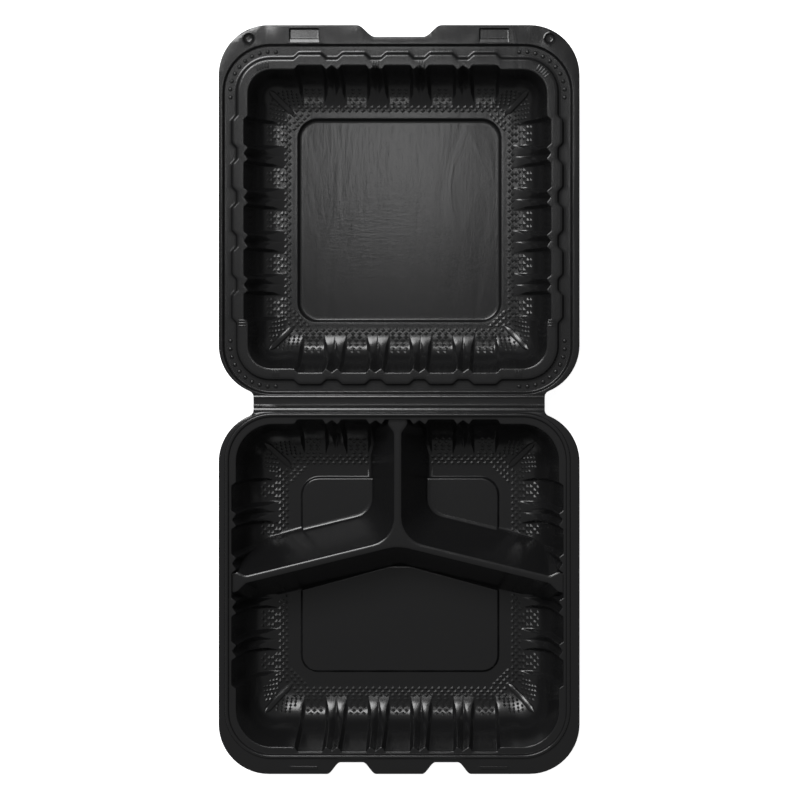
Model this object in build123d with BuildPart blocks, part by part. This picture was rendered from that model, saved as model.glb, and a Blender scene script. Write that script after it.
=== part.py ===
from build123d import *
import os
from math import cos, radians, sin, tan

# Hinged takeout container, formed and trimmed in one sheet and lying open.
# X runs along the hinge, the base lies towards -Y and the lid towards +Y, both with
# their hollow side up. Z = 0 is the table under the base. Millimetres.

# Driving dimensions
sheet = 0.45  # gauge of the formed sheet
rim_height = 42.0  # flange face above the table
width = 231.0  # trimmed width over the flanges
trim_shift = 1.1  # the cut sits this far off the formed shape, towards +X
trim_corner = 32.0
centre_to_fold = width / 2 + 1.8  # from the fold to the middle of either bowl
lid_front = 8.7  # the lid's front edge, past the square of its width
base_front = 5.1
lid_edge = 4.7  # the lid flange's rear edge, before the fold
base_edge = 6.2
waist_cut = 22.25  # the hinge strip is this much narrower than the flanges, at either end
waist_fillet = 4.0
fold_gap = 0.2  # from the fold to the stiff strip on either side

# Half widths from the flange inwards, each from the one outside it
channel_half = width / 2 - 3.5  # the lid's channel, over its outer wall
ridge_half = channel_half - 2.7  # middle of the base's sealing ridge, which the channel takes
base_half = ridge_half - 4.3  # the base's bowl at the rim, on the ribs between the pockets
plug_half = base_half - 2.5  # foot of the lid's plug between the scallops
lid_half = plug_half - 4.5  # the lid's bowl, on its ribs

# Bowls
base_corner = 25.0
base_blend = 26.0
lid_corner = 17.0
lid_blend = 22.0
lid_depth = 31.0  # from the lid's flange to its floor
floor_corner = 5.0
draft = 12.0  # degrees from upright
blend_steps = 4
corner_chords = 6  # flats that round each corner of a fluted wall

# Pockets and V grooves of the fluted walls
pocket_pitch = 2 * lid_half / 7
pocket_half = 2 * pocket_pitch / 7
pocket_narrowing = 1.8  # what a pocket loses of its half width from the rim to the floor
pocket_flank = 2.1  # width of a pocket's sloped side where the pocket is deepest
base_pocket = 2.9
lid_pocket = 2.6
rib_land = 0.6  # flat left on a rib between a pocket's flank and a groove
groove_half = pocket_pitch / 2 - pocket_half - pocket_flank - rib_land
groove = 1.7
fade = 0.9  # share of the pockets' and grooves' depth that is gone at the floor

# Rims
ridge_foot = 3.4
ridge_crest = 1.6
ridge_height = 1.6
ridge_wall = 0.27  # level thickness of the ridge's drawn flanks
channel_depth = 2.2
channel_draft = 1.1
plug_draft = 1.9
plug_height = 1.2
lug_taper = 15.0
scallop = 3.1
scallop_half = pocket_half - 0.7
scallop_flank = 3.4

# Dividers of the base
divider_drop = 3.0  # tops below the flange
divider_half = 2.3
divider_draft = 8.0
divider_blend = 10.0
divider_corner = 12.0
arm_root = 0.26 * base_half  # where the arms' middle line crosses the stem, from the bowl's middle
arm_slope = 13.8  # degrees below level, towards the front
flare = 3.6  # the dividers widen where they run into the wall
flare_run = 9.0

# Panels
panel_half = base_half - 39.5
panel_gap = 5.6  # from the foot of a divider's blend to a panel
panel_peak = 6.0  # half width of the lower panel's top edge
panel_rise = 2.0
panel_corner = 11.0
plateau_half = lid_half - 31.2
plateau_drop = 3.5
plateau_corner = 13.0
panel_taper = 30.0  # degrees from upright

# Front edges and closures
notch_depth = 7.5
lid_notch = 51.2  # across the lid's one notch at the edge
base_notch = 28.8  # across each of the base's two notches
base_notch_spread = 30.4
notch_flank = 8.5
base_notch_flank = 6.0
latch_spread = 60.8  # from the middle line to each latch
latch_width = 19.5
latch_deep = 9.0
latch_from_edge = 6.6  # from the lid's edge to the middle of its latch recess
latch_recess = 1.8
lug_width = 17.0
lug_deep = 2.4
lug_height = 1.2
lug_from_edge = 5.2
dimple_x = width / 2 - 19.9
dimple_from_edge = 8.6
dimple_radius = 3.2
dimple_depth = 1.2

# Corner bars on the floor blends
bar_half = 1.1
bar_rise = 0.9

# Placing: the part's box is centred on the origin
waist = width - 2 * waist_cut
lid_reach = centre_to_fold + width / 2 + lid_front
base_reach = centre_to_fold + width / 2 + base_front
fold_y = (base_reach - lid_reach) / 2
form_x = -trim_shift
base_y = fold_y - centre_to_fold
lid_y = fold_y + centre_to_fold
lid_ledge = rim_height + plug_height
lid_floor = rim_height - lid_depth
past_wall = base_half + 10  # a half length that clears the base's wall
flank_skin = 0.3  # the part of the gauge by which a pocket's outside is wider than its inside
clear = 1.0  # cutters reach this far past the faces they open


def at(y, z):
    """Plane at height z with its origin in the middle of a bowl."""
    return Plane(origin=(form_x, y, z))


def fluted_side(half, corner, pocket, pocket_w, flank, valley, valley_w):
    """Points of one wall's outline, along +X at y = -half."""
    points = [(corner - half, -half)]
    for index in range(-2, 3):
        middle = index * pocket_pitch
        points += [
            (middle - pocket_w - flank, -half),
            (middle - pocket_w, -half - pocket),
            (middle + pocket_w, -half - pocket),
            (middle + pocket_w + flank, -half),
        ]
        if index < 2 and valley:
            crest = middle + pocket_pitch / 2
            points += [(crest - valley_w, -half), (crest, -half - valley), (crest + valley_w, -half)]
    return points


def ring_points(side, half, corner, y, z):
    """One closed outline of a fluted wall: a side turned four times, with its corners."""
    flat = half - corner
    for chord in range(corner_chords):
        angle = radians(-90 + 90 * chord / corner_chords)
        side = side + [(flat + corner * cos(angle), corner * sin(angle) - flat)]
    middle = Vector(form_x, y, z)
    return [middle + Vector(*point).rotate(Axis.Z, 90 * turn) for turn in range(4) for point in side]


def solid_between(outlines):
    """Solid with flat facets from each outline to the next, closed at both ends."""
    faces = [Face(Wire.make_polygon(outlines[0])), Face(Wire.make_polygon(outlines[-1]))]
    for upper, lower in zip(outlines, outlines[1:]):
        for start in range(len(upper)):
            corners = [upper[start - 1], upper[start], lower[start], lower[start - 1]]
            faces.append(Face(Wire.make_polygon(corners)))
    return Solid(Shell(faces))


def bowl_levels(half, corner, top, depth, blend, skin):
    """Half width, corner radius, height and travel (0 at the rim, 1 at the floor)."""
    upright = depth - blend * (1 - sin(radians(draft)))
    lean = upright * tan(radians(draft))
    inset = lean + blend * cos(radians(draft))
    levels = [(half + skin / cos(radians(draft)), corner + skin, top, 0.0)]
    for step in range(blend_steps + 1):
        angle = radians(draft + (90 - draft) * step / blend_steps)
        inward = lean + blend * (cos(radians(draft)) - cos(angle))
        drop = upright + blend * (sin(angle) - sin(radians(draft)))
        travel = inward / inset
        round_off = corner + (floor_corner - corner) * travel
        levels.append((half - inward + skin * cos(angle), round_off + skin,
                       top - drop - skin * sin(angle), travel))
    return levels


def bowl_form(half, corner, top, depth, blend, pocket, y, skin):
    """The bowl's hollow, or with a skin the outside of its sheet, as one solid."""
    outlines = []
    for level_half, level_corner, z, travel in bowl_levels(half, corner, top, depth, blend, skin):
        pocket_share = 1 - fade * travel**2
        groove_share = 1 - fade * travel
        pocket_w = pocket_half - pocket_narrowing * travel + flank_skin * skin
        side = fluted_side(level_half, level_corner, pocket * pocket_share, pocket_w,
                           pocket_flank * pocket_share, groove * groove_share,
                           groove_half * groove_share)
        outlines.append(ring_points(side, level_half, level_corner, y, z))
    return solid_between(outlines)


def square_loft(low, high, y, z_low, z_high, middle):
    """Rounded square that changes size between two heights, round the same corner centres."""
    with BuildPart() as form:
        for half, z in ((low, z_low), (high, z_high)):
            with BuildSketch(at(y, z)):
                RectangleRounded(2 * half, 2 * half, half - middle)
        loft(ruled=True)
    return form.part


def plug_form(skin, z_low, z_high):
    """The lid's plug: a square whose sides step out at every pocket."""
    outlines = []
    for half, z in ((plug_half - skin, z_low), (plug_half - plug_draft - skin, z_high)):
        corner = half - (lid_half - lid_corner)
        side = fluted_side(half, corner, scallop, scallop_half, scallop_flank, 0, 0)
        outlines.append(ring_points(side, half, corner, lid_y, z))
    return solid_between(outlines)


def divider_form(skin):
    """The Y of dividers, with its draft and floor blend; a skin makes it the hollow below."""
    top = rim_height - divider_drop
    height = top - sheet
    upright = height - divider_blend * (1 - sin(radians(divider_draft)))
    lean = upright * tan(radians(divider_draft))
    slope = tan(radians(arm_slope))
    levels = [(divider_half - skin, top - skin)]
    for step in range(blend_steps + 1):
        angle = radians(divider_draft + (90 - divider_draft) * step / blend_steps)
        spread = lean + divider_blend * (cos(radians(divider_draft)) - cos(angle))
        drop = upright + divider_blend * (sin(angle) - sin(radians(divider_draft)))
        levels.append((divider_half + spread - skin * cos(angle), top - drop - skin * sin(angle)))
    with BuildPart() as form:
        for half, z in levels:
            rise = half / cos(radians(arm_slope))
            end = base_half - flare_run
            with BuildSketch(at(base_y, z)) as outline:
                with BuildLine():
                    right = [
                        (half, arm_root + rise - slope * half),
                        (end, arm_root + rise - slope * end),
                        (past_wall, arm_root + rise - slope * past_wall + 2 * flare),
                        (past_wall, arm_root - rise - slope * past_wall - 2 * flare),
                        (end, arm_root - rise - slope * end),
                    ]
                    stem = [(half, end), (half + 2 * flare, past_wall)]
                    half_outline = [stem[1], stem[0]] + right
                    left = [(-x, y) for x, y in reversed(half_outline)]
                    Polyline(*half_outline, (0, arm_root - rise), *left, close=True)
                make_face()
                crotches = [v for v in outline.vertices()
                            if abs(abs(v.X - form_x) - half) < 0.01 and v.Y - base_y < end - 1]
                fillet(crotches, radius=divider_corner)
        loft(ruled=True)
    return form.part


def panel_outlines():
    """Corners of the base's raised panels, and those of them that are rounded."""
    slope = tan(radians(arm_slope))
    foot = divider_half + divider_blend + panel_gap
    gap = foot / cos(radians(arm_slope))
    lower = [
        (-panel_half, -panel_half),
        (panel_half, -panel_half),
        (panel_half, arm_root - gap - slope * panel_half),
        (panel_peak, arm_root - gap),
        (-panel_peak, arm_root - gap),
        (-panel_half, arm_root - gap - slope * panel_half),
    ]
    upper = [
        (foot, panel_half),
        (foot, arm_root + gap - slope * foot),
        (panel_half, arm_root + gap - slope * panel_half),
        (panel_half, panel_half),
    ]
    mirrored = [(-x, y) for x, y in reversed(upper)]
    return ((lower, lower[:2]), (upper, upper[1::2]), (mirrored, mirrored[::2]))


def panel_form(skin):
    """Solids of the raised panels; a skin makes them the recesses below."""
    shrink = skin * tan(radians(45 - panel_taper / 2))
    foot_z = sheet - clear - skin
    with BuildPart() as form:
        for outline, rounded in panel_outlines():
            with BuildSketch(at(base_y, foot_z)) as panel:
                with BuildLine():
                    Polyline(*outline, close=True)
                make_face()
                corners = [panel.vertices().sort_by_distance((form_x + x, base_y + y, foot_z))[0]
                           for x, y in rounded]
                fillet(corners, radius=panel_corner)
                if shrink:
                    offset(amount=-shrink, kind=Kind.INTERSECTION)
            extrude(amount=panel_rise + clear, taper=panel_taper)
    return form.part


def corner_bars(half, corner, top, depth, blend, y):
    """Raised bars that run down the floor blend of each corner."""
    levels = bowl_levels(half, corner, top, depth, blend, 0)
    path = []
    for level_half, level_corner, z, travel in levels[2:]:
        reach = (level_half - level_corner) * 2**0.5 + level_corner
        path.append((reach, z))
    lifted = [(reach - bar_rise, z + bar_rise) for reach, z in path]
    sunk = [(reach + sheet / 2, z - sheet / 2) for reach, z in reversed(path)]
    with BuildPart() as bars:
        for turn in range(4):
            heading = Vector(1, 0, 0).rotate(Axis.Z, 45 + 90 * turn)
            across = Vector(0, -1, 0).rotate(Axis.Z, 45 + 90 * turn)
            with BuildSketch(Plane(origin=(form_x, y, 0), x_dir=heading, z_dir=across)):
                with BuildLine():
                    Polyline(*lifted, *sunk, close=True)
                make_face()
            extrude(amount=bar_half, both=True)
    return bars.part


# Base: bowl with its dividers and panels, flange with its ridge, and catch lugs
base_depth = rim_height - sheet
base_outside = bowl_form(base_half, base_corner, rim_height, base_depth, base_blend,
                         base_pocket, base_y, sheet)
base_inside = bowl_form(base_half, base_corner, rim_height, base_depth, base_blend,
                        base_pocket, base_y, 0)
base_middle = base_half - base_corner
ridge_top = rim_height + ridge_height

with BuildPart() as base_hollow:
    add(base_inside)
    add(divider_form(0), mode=Mode.SUBTRACT)
    add(panel_form(0), mode=Mode.SUBTRACT)

with BuildPart() as ridge:
    add(square_loft(ridge_half + ridge_foot / 2, ridge_half + ridge_crest / 2,
                    base_y, rim_height, ridge_top, base_middle))
    add(square_loft(ridge_half - ridge_foot / 2, ridge_half - ridge_crest / 2,
                    base_y, rim_height, ridge_top, base_middle), mode=Mode.SUBTRACT)

with BuildPart() as ridge_hollow:
    hollow_foot = ridge_foot / 2 - ridge_wall
    hollow_crest = ridge_crest / 2 - ridge_wall
    add(square_loft(ridge_half + hollow_foot, ridge_half + hollow_crest,
                    base_y, rim_height - sheet, ridge_top - sheet, base_middle))
    add(square_loft(ridge_half - hollow_foot, ridge_half - hollow_crest,
                    base_y, rim_height - sheet, ridge_top - sheet, base_middle), mode=Mode.SUBTRACT)

with BuildPart() as base:
    add(base_outside)
    add(divider_form(sheet), mode=Mode.SUBTRACT)
    add(panel_form(sheet), mode=Mode.SUBTRACT)
    with BuildSketch(Plane(origin=(0, fold_y, rim_height - sheet))) as base_trim:
        with Locations((0, -(base_reach + base_edge) / 2)):
            RectangleRounded(width, base_reach - base_edge, trim_corner)
        with Locations((0, -fold_gap)):
            Rectangle(waist, base_edge + waist_fillet, align=(Align.CENTER, Align.MAX))
        fillet([v for v in base_trim.vertices()
                if abs(abs(v.X) - waist / 2) < 0.01 and fold_y - v.Y > base_edge / 2],
               radius=waist_fillet)
        for side in (-1, 1):
            with BuildLine():
                Polyline(
                    (side * (base_notch_spread - base_notch / 2), -base_reach - clear),
                    (side * (base_notch_spread - base_notch / 2), -base_reach),
                    (side * (base_notch_spread - base_notch / 2 + base_notch_flank),
                     notch_depth - base_reach),
                    (side * (base_notch_spread + base_notch / 2 - base_notch_flank),
                     notch_depth - base_reach),
                    (side * (base_notch_spread + base_notch / 2), -base_reach),
                    (side * (base_notch_spread + base_notch / 2), -base_reach - clear),
                    close=True,
                )
            make_face(mode=Mode.SUBTRACT)
    extrude(amount=sheet)
    add(ridge.part)
    add(base_hollow.part, mode=Mode.SUBTRACT)
    add(ridge_hollow.part, mode=Mode.SUBTRACT)
    with BuildSketch(Plane(origin=(0, fold_y, rim_height))):
        for side in (-1, 1):
            with Locations((side * latch_spread, lug_from_edge - base_reach)):
                Rectangle(lug_width, lug_deep)
    extrude(amount=lug_height, taper=lug_taper)
    add(corner_bars(base_half, base_corner, rim_height, base_depth, base_blend, base_y))

# Lid: bowl with its plateau, flange with the channel that takes the ridge, and the
# scalloped plug that sits inside the base's wall
lid_cavity = lid_ledge - lid_floor
lid_outside = bowl_form(lid_half, lid_corner, lid_ledge, lid_cavity, lid_blend,
                        lid_pocket, lid_y, sheet)
lid_inside = bowl_form(lid_half, lid_corner, lid_ledge, lid_cavity, lid_blend,
                       lid_pocket, lid_y, 0)
lid_middle = lid_half - lid_corner
channel_floor = rim_height - channel_depth

with BuildPart() as lid:
    with BuildSketch(Plane(origin=(0, fold_y, rim_height - sheet))) as lid_trim:
        with Locations((0, (lid_reach + lid_edge) / 2)):
            RectangleRounded(width, lid_reach - lid_edge, trim_corner)
        with Locations((0, fold_gap)):
            Rectangle(waist, lid_edge + waist_fillet, align=(Align.CENTER, Align.MIN))
        fillet([v for v in lid_trim.vertices()
                if abs(abs(v.X) - waist / 2) < 0.01 and v.Y - fold_y > lid_edge / 2],
               radius=waist_fillet)
        with BuildLine():
            Polyline(
                (-lid_notch / 2, lid_reach + clear),
                (-lid_notch / 2, lid_reach),
                (notch_flank - lid_notch / 2, lid_reach - notch_depth),
                (lid_notch / 2 - notch_flank, lid_reach - notch_depth),
                (lid_notch / 2, lid_reach),
                (lid_notch / 2, lid_reach + clear),
                close=True,
            )
        make_face(mode=Mode.SUBTRACT)
    extrude(amount=sheet)
    channel_outside = channel_half + ridge_wall
    add(square_loft(channel_outside, channel_outside - channel_draft, lid_y,
                    rim_height - sheet, channel_floor - sheet, lid_middle))
    recess_foot = rim_height - latch_recess - sheet
    with BuildSketch(Plane(origin=(0, fold_y + lid_reach - latch_from_edge, recess_foot))):
        with Locations((-latch_spread, 0), (latch_spread, 0)):
            Rectangle(latch_width, latch_deep)
    extrude(amount=latch_recess)
    with BuildSketch(Plane(origin=(0, fold_y + lid_reach - dimple_from_edge,
                                   rim_height - dimple_depth - sheet))):
        with Locations((-dimple_x, 0), (dimple_x, 0)):
            Circle(dimple_radius)
    extrude(amount=dimple_depth)
    add(square_loft(channel_half, channel_half - channel_draft, lid_y, rim_height, channel_floor,
                    lid_middle), mode=Mode.SUBTRACT)
    with BuildSketch(Plane(origin=(0, fold_y + lid_reach - latch_from_edge, rim_height))):
        with Locations((-latch_spread, 0), (latch_spread, 0)):
            Rectangle(latch_width - 2 * sheet, latch_deep - 2 * sheet)
    extrude(amount=-latch_recess, mode=Mode.SUBTRACT)
    with BuildSketch(Plane(origin=(0, fold_y + lid_reach - dimple_from_edge, rim_height))):
        with Locations((-dimple_x, 0), (dimple_x, 0)):
            Circle(dimple_radius - sheet)
    extrude(amount=-dimple_depth, mode=Mode.SUBTRACT)
    with BuildSketch(at(lid_y, channel_floor - sheet)):
        RectangleRounded(2 * (channel_half - channel_draft), 2 * (channel_half - channel_draft),
                         channel_half - channel_draft - lid_middle)
    extrude(amount=sheet)
    add(plug_form(0, channel_floor, lid_ledge))
    add(plug_form(sheet, channel_floor - sheet, lid_ledge - sheet), mode=Mode.SUBTRACT)
    add(lid_outside)
    with BuildSketch(at(lid_y, lid_floor)):
        RectangleRounded(2 * plateau_half + 2 * sheet, 2 * plateau_half + 2 * sheet,
                         plateau_corner + sheet)
    extrude(amount=-plateau_drop - sheet, taper=panel_taper)
    add(lid_inside, mode=Mode.SUBTRACT)
    with BuildSketch(at(lid_y, lid_floor)):
        RectangleRounded(2 * plateau_half, 2 * plateau_half, plateau_corner)
    extrude(amount=-plateau_drop, taper=panel_taper, mode=Mode.SUBTRACT)
    add(corner_bars(lid_half, lid_corner, lid_ledge, lid_cavity, lid_blend, lid_y))

base.part.label = "base"
lid.part.label = "lid"
export_step(base.part, "parts/base.step")
export_step(lid.part, "parts/lid.step")
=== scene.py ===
import bpy
import bmesh
from math import asin, atan2, cos, pi, radians, sin, tan
from mathutils import Matrix, Vector


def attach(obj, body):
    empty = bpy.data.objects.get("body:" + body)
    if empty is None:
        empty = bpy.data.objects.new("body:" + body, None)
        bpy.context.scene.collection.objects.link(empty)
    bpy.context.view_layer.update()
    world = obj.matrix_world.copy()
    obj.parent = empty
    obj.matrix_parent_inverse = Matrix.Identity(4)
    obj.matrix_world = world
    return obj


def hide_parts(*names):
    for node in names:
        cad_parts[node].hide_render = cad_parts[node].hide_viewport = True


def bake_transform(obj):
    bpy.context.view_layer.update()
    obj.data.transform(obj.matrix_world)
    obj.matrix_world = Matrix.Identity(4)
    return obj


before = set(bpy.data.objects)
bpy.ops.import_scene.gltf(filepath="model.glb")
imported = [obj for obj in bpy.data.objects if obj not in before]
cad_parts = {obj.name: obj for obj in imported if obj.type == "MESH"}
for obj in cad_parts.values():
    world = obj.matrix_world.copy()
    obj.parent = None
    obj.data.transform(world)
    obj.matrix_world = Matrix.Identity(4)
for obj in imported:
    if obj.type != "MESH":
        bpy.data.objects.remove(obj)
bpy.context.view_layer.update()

# The container lies open: tray towards -Y, lid towards +Y, both hollow side up.
# Shapes are worked out in millimetres and scaled to metres as each mesh is finished.
MM = 0.001
UP = Vector((0, 0, 1))
MERGE = 0.001
SHARP_ANGLE = radians(38)
SHARPEST_CORNER = 0.3

# The sheet and its cut edge. Reaches and edges are measured from the fold.
SHEET = 0.45
STRIP_SHEET = 0.35
RIM = 42.0
WIDTH = 231.0
TRIM_CORNER = 32.0
TO_FOLD = 117.3
LID_REACH = 241.5
TRAY_REACH = 237.9
LID_EDGE = 4.7
TRAY_EDGE = 6.2
WAIST = 186.5
WAIST_FILLET = 4.0
NOTCH = 7.5
# The bowls lie this far left of the middle of the cut edge
TRIM_SHIFT = 1.1

FOLD_Y = (TRAY_REACH - LID_REACH) / 2
FORM_X = -TRIM_SHIFT
TRAY_Y = FOLD_Y - TO_FOLD
LID_Y = FOLD_Y + TO_FOLD

# Middles of a flange's rear corner and of the fillet that runs from it into the waist
CORNER_X = WIDTH / 2 - TRIM_CORNER
FILLET_X = WAIST / 2 + WAIST_FILLET
FILLET_DROP = ((TRIM_CORNER + WAIST_FILLET) ** 2 - (FILLET_X - CORNER_X) ** 2) ** 0.5 - TRIM_CORNER

# The sheets are joined to the hinge strip along these lines, measured from the fold
LID_CUT = 4.5
TRAY_CUT = 6.0

# Each side of a bowl has pockets numbered from -2 to 2, with a groove between each two
PITCH = 28.0
OUTER_POCKET = 2
POCKET_FLAT = 8.0
POCKET_NARROWS = 1.8
POCKET_SLOPE = 2.1
GROOVE = 2.4
GROOVE_HALF = 3.3
DRAFT = radians(12.0)
FLOOR_CORNER = 5.0
# Straight wall left between the last pocket and the corner
END_ROOM = 1.0
CORNER_STEPS = 14
WALL_STEPS = 5
BLEND_STEPS = 12
# Angles of the floor blend between which the pockets and the grooves run out
POCKET_END = (56, 79)
GROOVE_END = (35, 76)
# Drop below the rim at which its rounding has run into the wall
WALL_START = 1.2

CHANNEL_HALF = 112.0
CHANNEL_DEEP = 2.2
PLUG_HALF = 102.5
PLUG_RISE = 1.2
PLUG_FLUTES = {"recess": 3.1, "flat": 7.3, "slope": 3.4, "groove_half": 2.4}
RIDGE_HALF = 109.3
LID_DEEP = 31.0

# Both bowls: half width and corner of the mouth, height of the mouth, depth, radius of the
# floor blend, depth of the pockets, middle of the flange's corner forms, and place
TRAY = {"half": 103.6, "corner": 24.0, "top": RIM, "deep": RIM - SHEET, "blend": 26.0,
        "pocket": 2.9, "middle": 80.0, "y": TRAY_Y}
LID = {"half": 95.8, "corner": 15.5, "top": RIM + PLUG_RISE, "deep": LID_DEEP + PLUG_RISE,
       "blend": 22.0, "pocket": 2.6, "middle": 81.0, "y": LID_Y}

# Profiles of the rims: steps outwards from the named half width, and heights over the rim
CHANNEL_SIDE = ((0.1, -0.12), (-0.25, -0.6), (-0.85, -1.7), (-1.15, -2.08),
                (-1.6, -CHANNEL_DEEP))
PLUG_SIDE = ((2.5, -CHANNEL_DEEP), (1.9, -2.1), (1.2, -1.88), (0.8, -1.6), (-0.1, 0.62),
             (-0.45, 0.88), (-1.15, 1.1), (-1.75, PLUG_RISE))
RIDGE = ((1.5, 0.15), (1.3, 0.5), (1.0, 1.2), (0.7, 1.5), (0.3, 1.6), (-0.3, 1.6), (-0.7, 1.5),
         (-1.0, 1.2), (-1.35, 0.5), (-1.6, 0.1), (-2.0, 0.0))
CHANNEL_START = 0.35
RIDGE_START = 1.7
# Steps outwards and drops of the rounding from the rim into a bowl
MOUTH_ROUNDING = ((0.7, 0.0), (0.35, 0.05), (0.0, 0.15), (-0.14, 0.27))

# The dropped plateau: steps outwards, corner radii and drops below the lid's floor
PLATEAU_HALF = 66.8
PLATEAU_DROP = 3.5
PLATEAU_SIDE = ((2.0, 8.0, 0.0), (0.5, 13.0, 0.0), (0.1, 13.0, 0.1), (-0.2, 12.8, 0.5),
                (-1.1, 12.1, 2.9), (-1.45, 11.8, 3.28), (-2.05, 11.3, 3.46),
                (-2.8, 10.8, PLATEAU_DROP), (-4.5, 10.0, PLATEAU_DROP))

# Catches on both flanges and the round dimples in the corners of the lid's front edge
CATCH_X = 60.8
DIMPLE_X = 96.4
DIMPLE_BACK = 8.6
DIMPLE_MOUTH = (9.0, 4.4)
DIMPLE_RINGS = ((8.0, 0.22), (7.4, 0.28), (6.8, 0.1), (6.0, -0.7), (5.0, -1.3), (3.2, -1.6))

# The Y of dividers: a stem towards the fold and two arms that slope forwards
ARM_ROOT = 27.3
ARM_LEAN = radians(13.8)
ARM_SLOPE = tan(ARM_LEAN)
DIVIDER_DROP = 3.0
DIVIDER_HALF = 2.3
DIVIDER_DRAFT = radians(23.5)
DIVIDER_BLEND = 4.0
DIVIDER_EDGE = ((-1.5, 0.0), (-0.9, 0.1), (-0.25, 0.32), (0.05, 0.6), (0.25, 1.1))
# Where the dividers start to widen towards the wall, where they are wide, and where they end
FLARE_START = 97.5
FLARE_MIDDLE = 103.0
FLARE_END = 118.0
FLARE = 4.0
# Everything that is cut from the tray's hollow reaches from below its floor
CUT_FOOT = -3.0

# Raised floor panels: steps inwards and heights over the floor, down into the cut
PANEL_HALF = 65.5
PANEL_FRONT = 63.5
UPPER_PANEL_ROOM = 12.0
LOWER_PANEL_ROOM = 16.9
PANEL_SIDE = ((1.8, 2.0), (1.2, 1.9), (0.85, 1.55), (0.3, 0.5), (0.0, 0.14), (-0.4, 0.03),
              (-0.4, CUT_FOOT))
# Fillets of the upper panels: how much wider than the dividers, and heights over the floor
PANEL_FILLET = ((14.6, 4.2), (15.7, 2.8), (16.2, 2.45), (16.9, 2.2), (17.7, 2.05),
                (18.4, 1.99), (18.4, 0.9))
FILLET_INSET = 1.8
FILLET_SPAN = (9.0, 0.6)

# Hinge strip: places across the fold, and heights over the rim
STRIP = (
    (-TRAY_CUT, 0.0), (-5.2, 0.0), (-4.5, -0.1), (-4.0, -0.5), (-3.5, -0.55), (-3.1, -0.3),
    (-2.8, 0.1), (-2.4, 0.3), (-2.0, 0.1), (-1.7, -0.3), (-1.2, -0.4), (0.0, -0.4), (1.8, -0.4),
    (2.4, -0.3), (2.8, 0.0), (3.2, 0.3), (3.6, 0.3), (4.0, 0.05), (LID_CUT, 0.0),
)
STRIP_COLUMNS = 12

# Diamond texture: pitch along a row, distance of the rows, reach of a row in a pocket, and
# the width, length and height of the diamonds on the sides, in the corners and on the floor
STUD_PITCH = 4.35
STUD_ROW = 2.2
STUD_REACH = 5.4
FIRST_ROW = 0.9
# Share of its height by which a diamond's middle stands over the sheet
STUD_RAISED = 0.42
SIDE_STUD = (4.0, 3.5, 0.62)
CORNER_STUD = (2.6, 3.2, 0.6)
FLOOR_STUD = (3.9, 3.2, 0.5)
CORNER_STUDS = 4
CORNER_STUD_START = 3.2
CORNER_STUD_PITCH = 2.9
FLOOR_STUDS = 6
DIVIDER_ROOM = 21

# Bars in the corners of the floor blend: end angles, steps, half width, height, how deep
# their feet and their root lie in the sheet, and their section in shares
BAR_FROM, BAR_TO = radians(92), radians(40)
BAR_STEPS = 14
BAR_HALF = 2.0
BAR_RISE = 1.7
BAR_SUNK = 0.1
BAR_ROOT = 0.3
BAR_SECTION = ((1.0, 0.0), (0.97, 0.5), (0.75, 0.9), (0.4, 1.0), (-0.4, 1.0), (-0.75, 0.9),
               (-0.97, 0.5), (-1.0, 0.0))

# Vent bumps round each corner of the lid's channel, and hatches of bars across its ledge
VENTS = 10
VENT_FROM, VENT_TO = radians(-96.5), radians(6.5)
VENT_REACH = 26.3
VENT_SIZE = (1.4, 1.4, 0.85, 1)
LEDGE_HALF = 98.9
LEDGE_CORNER = 18.2
HATCH_BAR = (1.0, 5.0, 0.78)
FAN_BAR = (1.1, 5.0, 0.78)
HATCH_ROUNDING = 0.34
HATCH_PITCH = 1.7
FAN_PITCH = radians(6)
SIDE_HATCHES = ((0, -78.0), (0, 77.5), (1, -66.6), (3, 66.6), (2, -15.4), (2, 14.0))
CORNER_HATCHES = ((2, radians(-72)), (1, radians(-42)))


# Outlines

def eased(share):
    """A share from 0 to 1 that starts and ends gently."""
    return share * share * (3 - 2 * share)


def quarter_turn(quarter, size=3):
    """Turns a bowl's front side to its other sides."""
    return Matrix.Rotation(quarter * pi / 2, size, "Z")


def pocket_rise(flat, slope):
    """Distances from a pocket's middle, and the share of its depth there."""
    return ((0.0, 1.0), (0.6 * flat, 1.0), (flat - 0.9, 1.0), (flat - 0.3, 0.97),
            (flat + 0.12 * slope, 0.84), (flat + 0.8 * slope, 0.16), (flat + slope, 0.02))


def groove_dip(pocket_foot, groove_half):
    """Distances from the pocket's middle on to the groove's, and the share of its depth there."""
    foot = PITCH / 2 - groove_half
    return (((pocket_foot + foot) / 2, 0.0), (foot, 0.04), (foot + 0.25 * groove_half, 0.26),
            (foot + 0.85 * groove_half, 0.86), (PITCH / 2, 0.96))


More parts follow.
